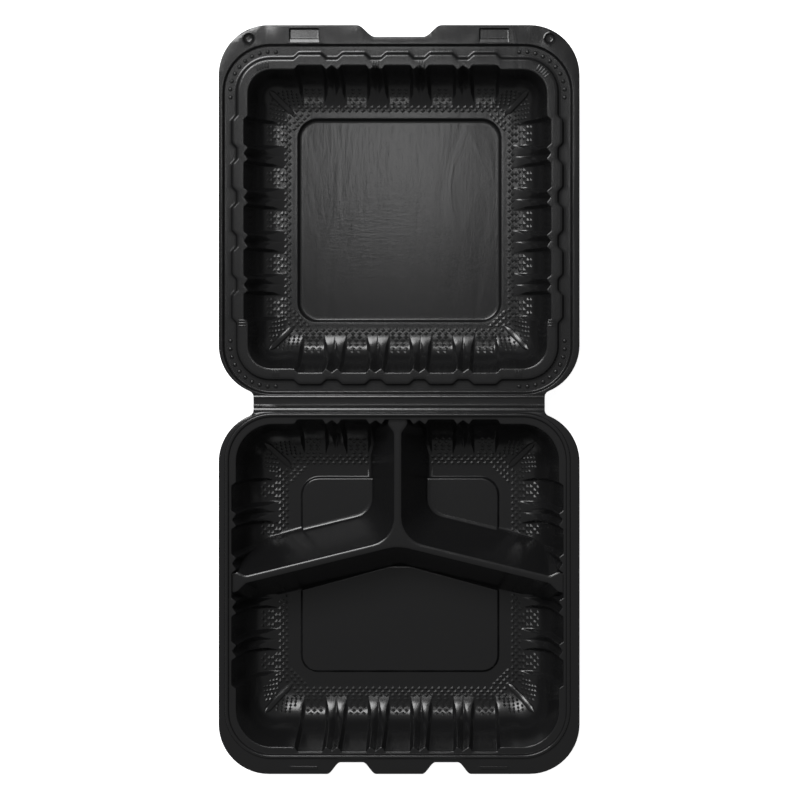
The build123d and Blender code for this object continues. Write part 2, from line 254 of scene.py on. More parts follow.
def fluted_ring(half, corner, recess=0.0, flat=POCKET_FLAT, slope=POCKET_SLOPE,
                groove=0.0, groove_half=GROOVE_HALF, lean=0.0):
    """One turn of a fluted wall, counter-clockwise from the front side, round its middle.

    Pockets and grooves are sunk square to a wall that leans back by an angle from upright.
    """
    straight = half - corner
    outermost = OUTER_POCKET * PITCH
    squeeze = min(1.0, straight / (outermost + flat + slope + END_ROOM))
    rise = pocket_rise(flat, slope)
    dip = groove_dip(flat + slope, groove_half)
    side = [(-straight, 0.0)]
    for pocket in range(-OUTER_POCKET, OUTER_POCKET + 1):
        for way in (-1, 1):
            run = [(along, recess * share) for along, share in rise]
            if pocket == OUTER_POCKET * way:
                foot = run[-1][0]
                step = (straight / squeeze - outermost - foot) / (len(dip) + 1)
                run += [(foot + step * (k + 1), 0.0) for k in range(len(dip))]
            else:
                run += [(along, groove * share) for along, share in dip]
            if way < 0:
                run = run[:0:-1] if pocket == -OUTER_POCKET else run[-2:0:-1]
            side += [((pocket * PITCH + way * along) * squeeze, out) for along, out in run]
    points = [Vector((x, -half - out * cos(lean), -out * sin(lean))) for x, out in side]
    for k in range(CORNER_STEPS):
        angle = radians(-90 + 90 * k / CORNER_STEPS)
        points.append(Vector((straight + corner * cos(angle), corner * sin(angle) - straight, 0)))
    return [quarter_turn(quarter) @ p for quarter in range(4) for p in points]


def rounded_outline(corners, radii, inset=0.0, steps=6):
    """A polygon with rounded corners, counter-clockwise, drawn in by an inset."""
    count = len(corners)
    points = [Vector(c) for c in corners]
    ways = [(points[(i + 1) % count] - points[i]).normalized() for i in range(count)]
    shifted = [points[i] + Vector((-ways[i].y, ways[i].x)) * inset for i in range(count)]
    ring = []
    for i in range(count):
        before, after = ways[i - 1], ways[i]
        turn = before.x * after.y - before.y * after.x
        hand = 1 if turn > 0 else -1
        gap = shifted[i] - shifted[i - 1]
        along = (gap.x * after.y - gap.y * after.x) / turn
        corner = shifted[i - 1] + before * along
        radius = max(radii[i] - hand * inset, SHARPEST_CORNER)
        bend = before.angle(after)
        start = corner - before * radius * tan(bend / 2)
        centre = start + Vector((-before.y, before.x)) * hand * radius
        for k in range(steps + 1):
            spin = Matrix.Rotation(bend * k / steps * hand, 2)
            ring.append(centre + spin @ (start - centre))
    return [Vector((p.x, p.y, 0)) for p in ring]


def placed(ring, x, y, z):
    """A ring moved to its place."""
    return [p + Vector((x, y, z)) for p in ring]


def at_height(ring, z):
    """A ring laid flat at a height."""
    return [Vector((p.x, p.y, z)) for p in ring]


def box_outline(x, y, wide, deep, radius, rise=0.0):
    """A small rounded rectangle at a height over the rim."""
    w, d = wide / 2, deep / 2
    ring = rounded_outline([(-w, -d), (w, -d), (w, d), (-w, d)], [radius] * 4, steps=3)
    return placed(ring, x, y, RIM + rise)


# Building meshes

def first_loop(bm, ring):
    """A closed loop of edges through the ring's points."""
    made = bmesh.ops.create_circle(bm, segments=len(ring), radius=1.0)["verts"]
    loop = [made[0]]
    seen = {made[0]}
    while len(loop) < len(made):
        follow = [e.other_vert(loop[-1]) for e in loop[-1].link_edges]
        fresh = [v for v in follow if v not in seen]
        loop.append(fresh[0])
        seen.add(fresh[0])
    for vert, point in zip(loop, ring):
        vert.co = point
    return loop


def loop_edges(loop):
    """The edges between a closed loop's vertices."""
    edges = []
    for a, b in zip(loop, loop[1:] + loop[:1]):
        edges.append(next(e for e in a.link_edges if e.other_vert(a) is b))
    return edges


def draw_on(bm, loop, *rings):
    """Extrudes a loop onto one ring after another and returns the last loop."""
    for ring in rings:
        made = bmesh.ops.extrude_edge_only(bm, edges=loop_edges(loop))["geom"]
        fresh = {v for v in made if isinstance(v, bmesh.types.BMVert)}
        drawn = []
        for vert, point in zip(loop, ring):
            child = next(e.other_vert(vert) for e in vert.link_edges if e.other_vert(vert) in fresh)
            child.co = point
            drawn.append(child)
        loop = drawn
    return loop


def fill(bm, *loops):
    """Fills the flat space inside the first loop and outside the others."""
    edges = [e for loop in loops for e in loop_edges(loop)]
    bmesh.ops.triangle_fill(bm, use_beauty=True, edges=edges, normal=UP)


def finish_piece(bm, name, material, open_sheet=False):
    """Turns a bmesh in millimetres into a smooth object. An open sheet faces up."""
    bmesh.ops.remove_doubles(bm, verts=bm.verts, dist=MERGE)
    bmesh.ops.recalc_face_normals(bm, faces=bm.faces)
    if open_sheet and max(bm.faces, key=lambda f: f.calc_area()).normal.dot(UP) < 0:
        bmesh.ops.reverse_faces(bm, faces=bm.faces)
    bmesh.ops.scale(bm, vec=(MM, MM, MM), verts=bm.verts)
    mesh = bpy.data.meshes.new(name)
    bm.to_mesh(mesh)
    bm.free()
    mesh.shade_smooth()
    mesh.set_sharp_from_angle(angle=SHARP_ANGLE)
    mesh.materials.append(material)
    piece = bpy.data.objects.new(name, mesh)
    bpy.context.collection.objects.link(piece)
    return piece


def closed_solid(rings):
    """A solid through rings, filled flat at both ends, for cutting."""
    bm = bmesh.new()
    first = first_loop(bm, rings[0])
    last = draw_on(bm, first, *rings[1:])
    fill(bm, first)
    fill(bm, last)
    bmesh.ops.recalc_face_normals(bm, faces=bm.faces)
    mesh = bpy.data.meshes.new("cutter")
    bm.to_mesh(mesh)
    bm.free()
    solid = bpy.data.objects.new("cutter", mesh)
    bpy.context.collection.objects.link(solid)
    return solid


def combine(solid, other, operation):
    """Cuts another solid from a solid, or keeps only what lies in both."""
    cut = solid.modifiers.new("cut", "BOOLEAN")
    cut.operation = operation
    cut.solver = "EXACT"
    cut.object = other


# Walls and floors of the two bowls

def bowl_depths(bowl):
    """Height of the bowl's drafted wall above its blend, and how far that wall leans in."""
    upright = bowl["deep"] - bowl["blend"] * (1 - sin(DRAFT))
    return upright, upright * tan(DRAFT)


def level_at(bowl, angle):
    """Inward step, drop, corner radius and share of the way in, at an angle of the blend."""
    upright, lean = bowl_depths(bowl)
    inward = lean + bowl["blend"] * (cos(DRAFT) - cos(angle))
    drop = upright + bowl["blend"] * (sin(angle) - sin(DRAFT))
    travel = inward / (lean + bowl["blend"] * cos(DRAFT))
    return inward, drop, corner_at(bowl, travel), travel


def corner_at(bowl, travel):
    """Corner radius at a share of the way in from the mouth to the floor."""
    return bowl["corner"] + (FLOOR_CORNER - bowl["corner"]) * travel


def flute_share(lean, first, last):
    """Share of a flute's depth that is left where the wall has turned to an angle."""
    return 1 - eased(min(1.0, max(0.0, (lean - radians(first)) / radians(last - first))))


def ring_at(bowl, travel, inward, drop, grow=0.0, lean=DRAFT):
    """The wall's ring, whose flutes narrow and run out on the way in."""
    pockets = flute_share(lean, *POCKET_END)
    grooves = flute_share(lean, *GROOVE_END)
    ring = fluted_ring(
        bowl["half"] - inward + grow, corner_at(bowl, travel), bowl["pocket"] * pockets,
        POCKET_FLAT - POCKET_NARROWS * travel, POCKET_SLOPE * (0.3 + 0.7 * pockets),
        GROOVE * grooves, GROOVE_HALF * (0.2 + 0.8 * grooves), lean)
    return placed(ring, FORM_X, bowl["y"], bowl["top"] - drop)


def wall_level(bowl, drop):
    """The wall's ring at a drop below the top, above its blend."""
    _, lean = bowl_depths(bowl)
    inward = drop * tan(DRAFT)
    return ring_at(bowl, inward / (lean + bowl["blend"] * cos(DRAFT)), inward, drop)


def bowl_level(bowl, angle):
    """The wall's ring on its blend."""
    inward, drop, _, travel = level_at(bowl, angle)
    return ring_at(bowl, travel, inward, drop, lean=angle)


def bowl_rings(bowl):
    """All rings of a bowl's wall and blend, from where the rim's rounding ends to the floor."""
    upright, _ = bowl_depths(bowl)
    rings = [wall_level(bowl, WALL_START + (upright - WALL_START) * k / WALL_STEPS)
             for k in range(WALL_STEPS)]
    rings += [bowl_level(bowl, DRAFT + (pi / 2 - DRAFT) * k / BLEND_STEPS)
              for k in range(BLEND_STEPS + 1)]
    return rings


def flat_ring(bowl, half, rise, corner=None, **flutes):
    """A level ring of a flange or floor round a bowl, at a height over the rim."""
    radius = half - bowl["middle"] if corner is None else corner
    return placed(fluted_ring(half, radius, **flutes), FORM_X, bowl["y"], RIM + rise)


def rim_to_wall(bm, loop, bowl):
    """Rounds the rim over into the bowl's wall."""
    rings = [ring_at(bowl, 0, 0, drop, grow=grow, lean=0) for grow, drop in MOUTH_ROUNDING]
    return draw_on(bm, loop, *rings, wall_level(bowl, WALL_START))


# Flanges

def arc(x, y, radius, start, end, steps, skipped=0):
    """Points of an arc round a middle, without the first of its steps that are skipped."""
    angles = [start + (end - start) * k / steps for k in range(skipped, steps + 1)]
    return [(x + radius * cos(angle), y + radius * sin(angle)) for angle in angles]


def half_trim(reach, edge, cut, front):
    """Right half of a flange's cut edge, from the waist to its front, with the fold at zero.

    The front edge steps back and forth between the places and depths given.
    """
    fillet_y = edge - FILLET_DROP
    rear_y = edge + TRIM_CORNER
    lean = atan2(rear_y - fillet_y, FILLET_X - CORNER_X)
    first = pi - asin(min(1.0, max(0.0, (cut - fillet_y) / WAIST_FILLET)))
    points = arc(FILLET_X, fillet_y, WAIST_FILLET, first, pi - lean, 6)
    points += arc(CORNER_X, rear_y, TRIM_CORNER, -lean, 0, CORNER_STEPS, skipped=1)
    points += arc(CORNER_X, reach - TRIM_CORNER, TRIM_CORNER, 0, pi / 2, CORNER_STEPS)
    for (x, deep), (x_next, deep_next) in zip(front, front[1:]):
        if deep != deep_next:
            for k in range(9):
                share = k / 8
                back = deep + (deep_next - deep) * eased(share)
                points.append((x + (x_next - x) * share, reach - back))
    return points


def trim_ring(right, flip):
    """Whole cut edge, counter-clockwise, from its right half. A flip of -1 turns it round."""
    ring = right + [(-x, y) for x, y in reversed(right)]
    return [Vector((flip * x, FOLD_Y + flip * y, RIM)) for x, y in ring]


def waist_end(y):
    """Half width of the waist at a place from the fold, wider where it runs into a flange."""
    edge = LID_EDGE if y > 0 else TRAY_EDGE
    past = max(0.0, abs(y) - (edge - FILLET_DROP))
    return FILLET_X - (WAIST_FILLET**2 - past**2) ** 0.5


def latch_recess(bm, x):
    """The lid's catch: a recess whose rear side is a ramp with a small groove at its foot."""
    y, wide, deep = FOLD_Y + LID_REACH - 6.5, 19.5, 9.2
    mouth = first_loop(bm, box_outline(x, y, wide, deep, 0.9))
    loop = mouth
    # Steps inwards at the sides, front and rear, and drops at the front and rear
    levels = ((0.12, 0.12, 0.12, 0.1, 0.03), (0.4, 0.4, 2.0, 1.0, 0.5), (0.55, 0.6, 2.5, 1.55, 1.2),
              (0.85, 0.9, 2.8, 1.64, 1.3), (1.1, 1.2, 3.1, 1.64, 1.33))
    for side, front, rear, front_drop, rear_drop in levels:
        ring = box_outline(x, y + (rear - front) / 2, wide - 2 * side, deep - front - rear, 0.7)
        low, high = ring[0].y, ring[len(ring) // 2].y
        tilt = (front_drop - rear_drop) / (high - low)
        tilted = [Vector((p.x, p.y, RIM - rear_drop - tilt * (p.y - low))) for p in ring]
        loop = draw_on(bm, loop, tilted)
    fill(bm, loop)
    return mouth


def catch_pad(bm, x):
    """The tray's catch: a low pad on the flange that carries a raised lug."""
    front = FOLD_Y - TRAY_REACH
    mouth = first_loop(bm, box_outline(x, front + 6.8, 19.6, 7.8, 0.6))
    loop = draw_on(bm, mouth, box_outline(x, front + 6.7, 19.1, 7.0, 0.5, 0.24))
    for side, rise in ((0.0, 0.24), (0.1, 0.85), (0.25, 0.95)):
        lug = box_outline(x, front + 4.3, 17.4 - 2 * side, 1.8 - 2 * side, 0.4, rise)
        loop = draw_on(bm, loop, lug)
    fill(bm, loop)
    return mouth


def dimple(bm, x):
    """A round dimple with a slightly raised lip."""
    y = FOLD_Y + LID_REACH - DIMPLE_BACK
    size, radius = DIMPLE_MOUTH
    mouth = first_loop(bm, box_outline(x, y, size, size, radius))
    rings = [box_outline(x, y, size, size, size / 2 - 0.1, rise) for size, rise in DIMPLE_RINGS]
    fill(bm, draw_on(bm, mouth, *rings))
    return mouth


# Plastic

def bump(material, height, distance, strength, under=None):
    """Raises the surface by a pattern, on top of another bump. Returns its node."""
    nodes, links = material.node_tree.nodes, material.node_tree.links
    raised = nodes.new("ShaderNodeBump")
    raised.inputs["Strength"].default_value = strength
    raised.inputs["Distance"].default_value = distance
    links.new(height, raised.inputs["Height"])
    if under is not None:
        links.new(under, raised.inputs["Normal"])
    return raised


def drawn_noise(material, scale, detail, distortion):
    """Noise drawn out along the piece's own axes."""
    nodes, links = material.node_tree.nodes, material.node_tree.links
    stretch = nodes.new("ShaderNodeMapping")
    stretch.inputs["Scale"].default_value = scale
    links.new(nodes["Texture Coordinate"].outputs["Object"], stretch.inputs["Vector"])
    noise = nodes.new("ShaderNodeTexNoise")
    noise.inputs["Scale"].default_value = 1.0
    noise.inputs["Detail"].default_value = detail
    noise.inputs["Distortion"].default_value = distortion
    links.new(stretch.outputs["Vector"], noise.inputs["Vector"])
    return noise.outputs["Fac"]


def black_plastic(name, rough, streak):
    """Glossy black plastic with a fine grain and a broad unevenness."""
    material = bpy.data.materials.new(name)
    material.use_nodes = True
    nodes, links = material.node_tree.nodes, material.node_tree.links
    shader = nodes["Principled BSDF"]
    shader.inputs["Base Color"].default_value = (0.010, 0.010, 0.0104, 1)
    shader.inputs["Roughness"].default_value = rough
    shader.inputs["IOR"].default_value = 1.49
    place = nodes.new("ShaderNodeTexCoord")
    grain = nodes.new("ShaderNodeTexNoise")
    grain.inputs["Scale"].default_value = 900
    grain.inputs["Detail"].default_value = 3
    links.new(place.outputs["Object"], grain.inputs["Vector"])
    fine = bump(material, grain.outputs["Fac"], 0.0002, 0.12)
    flow = drawn_noise(material, (60, 14, 20), 4, 1.2)
    broad = bump(material, flow, 0.0006, streak, fine.outputs["Normal"])
    links.new(broad.outputs["Normal"], shader.inputs["Normal"])
    return material


def round_patch(material, x, y, reach, most):
    """Strength that fades outwards from a place on the piece."""
    nodes, links = material.node_tree.nodes, material.node_tree.links
    centred = nodes.new("ShaderNodeMapping")
    centred.inputs["Location"].default_value = (-x / reach, -y / reach, 0)
    centred.inputs["Scale"].default_value = (1 / (reach * MM), 1 / (reach * MM), 0)
    links.new(nodes["Texture Coordinate"].outputs["Object"], centred.inputs["Vector"])
    patch = nodes.new("ShaderNodeTexGradient")
    patch.gradient_type = "SPHERICAL"
    links.new(centred.outputs["Vector"], patch.inputs["Vector"])
    fade = nodes.new("ShaderNodeMapRange")
    fade.inputs["From Max"].default_value = 0.6
    fade.inputs["To Max"].default_value = most
    links.new(patch.outputs["Fac"], fade.inputs["Value"])
    return fade.outputs["Result"]


def streaked_plastic():
    """The same plastic where it was drawn thin over the plateau, with flow lines both ways."""
    material = black_plastic("black_plastic_flow_lines", 0.21, 0.25)
    links = material.node_tree.links
    normal = material.node_tree.nodes["Principled BSDF"].inputs["Normal"]
    for label, scale, patch in (("down", (420, 60, 20), (-15, 158, 68, 0.3)),
                                ("across", (110, 600, 20), (-24, 112, 46, 0.2))):
        lines = drawn_noise(material, scale, 2, 0.8)
        raised = bump(material, lines, 0.0002, 1.0, normal.links[0].from_socket)
        raised.label = label
        links.new(round_patch(material, *patch), raised.inputs["Strength"])
        links.new(raised.outputs["Normal"], normal)
    return material


plastic = black_plastic("black_formed_plastic", 0.23, 0.25)
streaked = streaked_plastic()
dull = black_plastic("black_plastic_textured", 0.35, 0.1)


# The sheet

def form_lid():
    """The lid from its cut edge over the channel and the plug down to the plateau."""
    bm = bmesh.new()
    right = half_trim(LID_REACH, LID_EDGE, LID_CUT, ((27.0, 0), (15.6, NOTCH)))
    trim = first_loop(bm, trim_ring(right, 1))
    loop = first_loop(bm, flat_ring(LID, CHANNEL_HALF + CHANNEL_START, 0.0))
    latches = [latch_recess(bm, side * CATCH_X) for side in (-1, 1)]
    dimples = [dimple(bm, side * DIMPLE_X) for side in (-1, 1)]
    fill(bm, trim, loop, *latches, *dimples)
    loop = draw_on(bm, loop, *(flat_ring(LID, CHANNEL_HALF + out, rise)
                               for out, rise in CHANNEL_SIDE))
    loop = draw_on(bm, loop, *(flat_ring(LID, PLUG_HALF + out, rise, **PLUG_FLUTES)
                               for out, rise in PLUG_SIDE))
    loop = rim_to_wall(bm, loop, LID)
    loop = draw_on(bm, loop, *bowl_rings(LID)[1:])
    loop = draw_on(bm, loop, *(flat_ring(LID, PLATEAU_HALF + out, -LID_DEEP - drop, corner)
                               for out, corner, drop in PLATEAU_SIDE))
    fill(bm, loop)
    sheet = finish_piece(bm, "lid_sheet", plastic, open_sheet=True)
    sheet.data.materials.append(streaked)
    plateau = RIM - LID_DEEP - PLATEAU_DROP
    for face in sheet.data.polygons:
        if face.center.z < (plateau + 0.02) * MM:
            face.material_index = 1
    return sheet


def divider_ring(grow, z):
    """The Y of dividers, wider by grow on every side."""
    half = DIVIDER_HALF
    rise = half / cos(ARM_LEAN)
    stem = [(half, FLARE_START), (half + FLARE, FLARE_MIDDLE), (half + FLARE, FLARE_END)]
    arm = [
        (half, ARM_ROOT + rise - ARM_SLOPE * half),
        (FLARE_START, ARM_ROOT + rise - ARM_SLOPE * FLARE_START),
        (FLARE_MIDDLE, ARM_ROOT + rise - ARM_SLOPE * FLARE_MIDDLE + FLARE),
        (FLARE_END, ARM_ROOT + rise - ARM_SLOPE * FLARE_END + FLARE + 1.0),
        (FLARE_END, ARM_ROOT - rise - ARM_SLOPE * FLARE_END - FLARE - 1.0),
        (FLARE_MIDDLE, ARM_ROOT - rise - ARM_SLOPE * FLARE_MIDDLE - FLARE),
        (FLARE_START, ARM_ROOT - rise - ARM_SLOPE * FLARE_START),
    ]
    right = stem[::-1] + arm
    corners = right + [(0, ARM_ROOT - rise)] + [(-x, y) for x, y in reversed(right)]
    # Widening adds to the radii of outer corners and takes from those of inner ones. These
    # radii make up for most of that, so that no outline crosses itself.
    crotch, flared, waisted = 18.0 + 0.7 * grow, 5.0 - 0.8 * grow, 5.0 + 0.9 * grow
    turn = [1, flared, waisted, crotch, waisted, flared, 1, 1, flared, waisted]
    radii = turn + [30] + turn[::-1]
    ring = rounded_outline(corners[::-1], radii[::-1], -grow, steps=7)
    return placed(ring, FORM_X, TRAY_Y, z)


def divider_levels():
    """How much wider the dividers are at each height, from their top edge to the floor."""
    top = RIM - DIVIDER_DROP
    levels = [(grow, top - drop) for grow, drop in DIVIDER_EDGE]
    upright = top - SHEET - DIVIDER_BLEND * (1 - sin(DIVIDER_DRAFT))
    lean = upright * tan(DIVIDER_DRAFT)
    levels += [(lean * k / 4, top - upright * k / 4) for k in range(1, 4)]
    for k in range(9):
        angle = DIVIDER_DRAFT + (pi / 2 - DIVIDER_DRAFT) * k / 8
        grow = lean + DIVIDER_BLEND * (cos(DIVIDER_DRAFT) - cos(angle))
        drop = upright + DIVIDER_BLEND * (sin(angle) - sin(DIVIDER_DRAFT))
        levels.append((grow, top - drop))
    return levels


def panel_outlines():
    """Corners and radii of the lower floor panel and of the two upper ones."""
    half = PANEL_HALF
    upper_foot = DIVIDER_HALF + UPPER_PANEL_ROOM
    lower_foot = DIVIDER_HALF + LOWER_PANEL_ROOM
    peak = lower_foot / 3
    low = ARM_ROOT - lower_foot / cos(ARM_LEAN)
    high = ARM_ROOT + upper_foot / cos(ARM_LEAN)
    lower = [(-half, -PANEL_FRONT), (half, -PANEL_FRONT), (half, low - ARM_SLOPE * half),
             (peak, low), (-peak, low), (-half, low - ARM_SLOPE * half)]
    upper = [(upper_foot, half), (upper_foot, high - ARM_SLOPE * upper_foot),
             (half, high - ARM_SLOPE * half), (half, half)]
    mirrored = [(-x, y) for x, y in reversed(upper)]
    return ((lower, [11, 11, 1, 4, 4, 1]), (upper, [1, 2, 1, 12]), (mirrored, [12, 1, 2, 1]))


def panel_ring(outline, inset, rise):
    """A floor panel's outline, drawn in by an inset, at a height over the floor."""
    return placed(rounded_outline(*outline, inset), FORM_X, TRAY_Y, SHEET + rise)


def tray_hollow():
    """The inside of the tray as a mesh: its hollow, less the dividers and the panels."""
    inward, drop, _, travel = level_at(TRAY, pi / 2)
    rings = bowl_rings(TRAY)
    # One ring more on the floor keeps the blend's shading off the flat
    rings.append(ring_at(TRAY, 1.08 * travel, inward + 1.5, drop, lean=pi / 2))
    hollow = closed_solid([at_height(rings[0], RIM + 2)] + rings)
    levels = divider_levels()
    below = divider_ring(levels[-1][0], CUT_FOOT)
    cutters = [closed_solid([divider_ring(*level) for level in levels] + [below])]
    clips = []
    for outline in panel_outlines():
        rings = [panel_ring(outline, inset, rise) for inset, rise in PANEL_SIDE]
        cutters.append(closed_solid(rings))
    for outline in panel_outlines()[1:]:
        # A small fillet where an upper panel runs into the dividers
        clips.append(closed_solid([panel_ring(outline, FILLET_INSET, rise)
                                   for rise in FILLET_SPAN]))
        cutters.append(closed_solid([divider_ring(grow, SHEET + rise)
                                     for grow, rise in PANEL_FILLET]))
        combine(cutters[-1], clips[-1], "INTERSECT")
    for cutter in cutters:
        combine(hollow, cutter, "DIFFERENCE")
    cut = hollow.evaluated_get(bpy.context.evaluated_depsgraph_get())
    mesh = bpy.data.meshes.new_from_object(cut)
    for solid in [hollow] + cutters + clips:
        bpy.data.objects.remove(solid)
    return mesh


def form_tray():
    """The tray: its inside, open at the top, and the flange with its ridge and catches."""
    bm = bmesh.new()
    bm.from_mesh(tray_hollow())
    # What closes the hollow above the mouth's rounding comes off
    above = [f for f in bm.faces if f.calc_center_median().z > RIM - MOUTH_ROUNDING[-1][1]]
    bmesh.ops.delete(bm, geom=above, context="FACES")
    front = ((46.0, 0), (37.6, NOTCH), (23.2, NOTCH), (14.8, 0))
    trim = first_loop(bm, trim_ring(half_trim(TRAY_REACH, TRAY_EDGE, TRAY_CUT, front), -1))
    loop = first_loop(bm, flat_ring(TRAY, RIDGE_HALF + RIDGE_START, 0.0))
    lugs = [catch_pad(bm, side * CATCH_X) for side in (-1, 1)]
    fill(bm, trim, loop, *lugs)
    loop = draw_on(bm, loop, *(flat_ring(TRAY, RIDGE_HALF + out, rise) for out, rise in RIDGE))
    rim_to_wall(bm, loop, TRAY)
    return finish_piece(bm, "tray_sheet", plastic, open_sheet=True)


def form_strip():
    """The hinge strip: rows along the fold, each as long as the waist is there."""
    bm = bmesh.new()
    rows = len(STRIP) - 1
    bmesh.ops.create_grid(bm, x_segments=STRIP_COLUMNS, y_segments=rows, size=1.0)
    for vert in bm.verts:
        y, rise = STRIP[round((vert.co.y + 1) / 2 * rows)]
        vert.co = (vert.co.x * waist_end(y), FOLD_Y + y, RIM + rise)
    return finish_piece(bm, "hinge_strip", plastic, open_sheet=True)


# Texture and marks formed into the sheet

def wall_spot(bowl, quarter, angle, along=None, azimuth=None, recess=0.0):
    """Place, direction along the ring and normal on a bowl's floor blend.

    The angle is the blend's, a quarter turn at the floor. A place on a side is given by
    its distance along, one in a corner by its azimuth.
    """
    inward, drop, corner, _ = level_at(bowl, angle)
    reach = bowl["half"] - inward
    if azimuth is None:
        sunk = recess * flute_share(angle, *POCKET_END)
        out = Vector((0, -1, 0))
        point = Vector((along, -reach - sunk * cos(angle), -sunk * sin(angle)))
    else:
        out = Vector((cos(azimuth), sin(azimuth), 0))
        point = Vector((reach - corner, corner - reach, 0)) + corner * out
    out = quarter_turn(quarter) @ out
    point = quarter_turn(quarter) @ point + Vector((FORM_X, bowl["y"], bowl["top"] - drop))
    ring = Vector((-out.y, out.x, 0))
    return point, ring, UP * sin(angle) - out * cos(angle)


def corner_reach(bowl, angle):
    """Half length of a side's straight stretch, and the corner's radius, at a blend angle."""
    inward, _, corner, _ = level_at(bowl, angle)
    return bowl["half"] - inward - corner, corner


def stud(bm, point, ring, normal, size):
    """One diamond of the texture, a low pyramid sunk a little into the sheet."""
    wide, tall, high = size
    up = normal.cross(ring)
    turn = Matrix((ring * wide / 2, up * tall / 2, normal * high)).transposed().to_4x4()
    bmesh.ops.create_cone(bm, cap_ends=True, segments=4, radius1=1, radius2=0, depth=1,
                          matrix=Matrix.Translation(point + normal * high * STUD_RAISED) @ turn)


def near_divider(bowl, point):
    """Whether a point of the tray lies too close to the dividers for a diamond."""
    if bowl is LID:
        return False
    x, y = point.x - FORM_X, point.y - TRAY_Y
    arm = ARM_ROOT - ARM_SLOPE * abs(x)
    return abs(y - arm) < DIVIDER_ROOM or (abs(x) < DIVIDER_ROOM and y > arm)


def side_studs(bm, bowl, quarter, row, angle, whole_row):
    """A row along a side, whole or only at the feet of the pockets. Rows are staggered."""
    straight, _ = corner_reach(bowl, angle)
    count = round(2 * straight / STUD_PITCH)
    for k in range(count + 1 - row % 2):
        along = (k + row % 2 / 2 - count / 2) * STUD_PITCH
        pocket = max(-OUTER_POCKET, min(OUTER_POCKET, round(along / PITCH)))
        from_pocket = abs(along - PITCH * pocket)
        if not whole_row and from_pocket > STUD_REACH:
            continue
        sunk = bowl["pocket"] if from_pocket < STUD_REACH + 1 else 0.0
        point, ring, normal = wall_spot(bowl, quarter, angle, along=along, recess=sunk)
        if not near_divider(bowl, point):
            stud(bm, point, ring, normal, SIDE_STUD)


def corner_studs(bm, bowl, quarter, row, angle):
    """A few diamonds on both sides of a corner's bar, which run on into the straight sides."""
    straight, radius = corner_reach(bowl, angle)
    for side in (-1, 1):
        for k in range(CORNER_STUDS):
            run = CORNER_STUD_START + (k + row % 2 / 2) * CORNER_STUD_PITCH
            past = run - radius * pi / 4
            if past < 0:
                spot = wall_spot(bowl, quarter, angle, azimuth=-pi / 4 + side * run / radius)
            else:
                spot = wall_spot(bowl, quarter + (side > 0), angle, along=-side * (straight - past))
            stud(bm, *spot, CORNER_STUD)


def floor_studs(bm, bowl):
    """Triangles of diamonds on the floor's corners."""
    straight, radius = corner_reach(bowl, pi / 2)
    reach = straight + radius
    middle = Vector((FORM_X, bowl["y"], bowl["top"] - bowl["deep"]))
    for quarter in range(4):
        spin = quarter_turn(quarter)
        for i in range(1, FLOOR_STUDS + 1):
            for j in range(1, FLOOR_STUDS + 2 - i):
                if (i + j) % 2 == 0:
                    step = Vector((reach - i * STUD_ROW, j * STUD_ROW - reach, 0))
                    stud(bm, spin @ step + middle, spin @ Vector((1, 0, 0)), UP, FLOOR_STUD)


def form_texture(bowl, name, whole_rows, rows):
    """Staggered diamonds: whole rows round the floor, then rows at the feet of the pockets."""
    bm = bmesh.new()
    for row in range(rows):
        angle = pi / 2 - (FIRST_ROW + row * STUD_ROW) / bowl["blend"]
        for quarter in range(4):
            side_studs(bm, bowl, quarter, row, angle, row < whole_rows)
            if row >= whole_rows:
                corner_studs(bm, bowl, quarter, row, angle)
    floor_studs(bm, bowl)
    piece = finish_piece(bm, name, dull)
    piece.data.shade_flat()
    return piece


def form_corner_bars(bowl, name):
    """The rounded bars that run up the floor blend in each corner."""
    bm = bmesh.new()
    for quarter in range(4):
        outlines = []
        for k in range(BAR_STEPS + 1):
            share = k / BAR_STEPS
            angle = BAR_FROM + (BAR_TO - BAR_FROM) * share
            point, ring, normal = wall_spot(bowl, quarter, angle, azimuth=-pi / 4)
            taper = min(1.0, 6 * share + 0.02, 6 * (1 - share) + 0.02) ** 0.5
            outline = [point + ring * BAR_HALF * taper * across
                       + normal * (BAR_RISE * taper * rise - BAR_SUNK)
                       for across, rise in BAR_SECTION]
            outlines.append(outline + [point - normal * BAR_ROOT])
        first = first_loop(bm, outlines[0])
        last = draw_on(bm, first, *outlines[1:])
        for end in (first, last):
            bmesh.ops.edgeloop_fill(bm, edges=loop_edges(end))
    return finish_piece(bm, name, plastic)


def form_vents():
    """Vent bumps round the corners of the lid's channel."""
    bm = bmesh.new()
    for quarter in range(4):
        for k in range(VENTS):
            azimuth = VENT_FROM + (VENT_TO - VENT_FROM) * k / (VENTS - 1)
            spot = quarter_turn(quarter) @ Vector((LID["middle"] + VENT_REACH * cos(azimuth),
                                                   VENT_REACH * sin(azimuth) - LID["middle"], 0))
            place = Matrix.Translation(spot + Vector((FORM_X, LID_Y, RIM - CHANNEL_DEEP)))
            bmesh.ops.create_uvsphere(bm, u_segments=12, v_segments=6, radius=1.0,
                                      matrix=place @ Matrix.Diagonal(VENT_SIZE))
    return finish_piece(bm, "vent_bumps", plastic)


def soft_bar(bm, spot, turn, size):
    """A small bar with rounded edges, lying on the lid's ledge."""
    place = Matrix.Translation(spot + Vector((FORM_X, LID_Y, RIM + PLUG_RISE)))
    stretch = Matrix.Diagonal((*size, 1))
    cube = bmesh.ops.create_cube(bm, size=1.0, matrix=place @ turn @ stretch)["verts"]
    edges = list({e for v in cube for e in v.link_edges})
    bmesh.ops.bevel(bm, geom=edges, offset=HATCH_ROUNDING * min(size), segments=2, profile=0.5,
                    affect="EDGES", offset_type="OFFSET", material=-1)


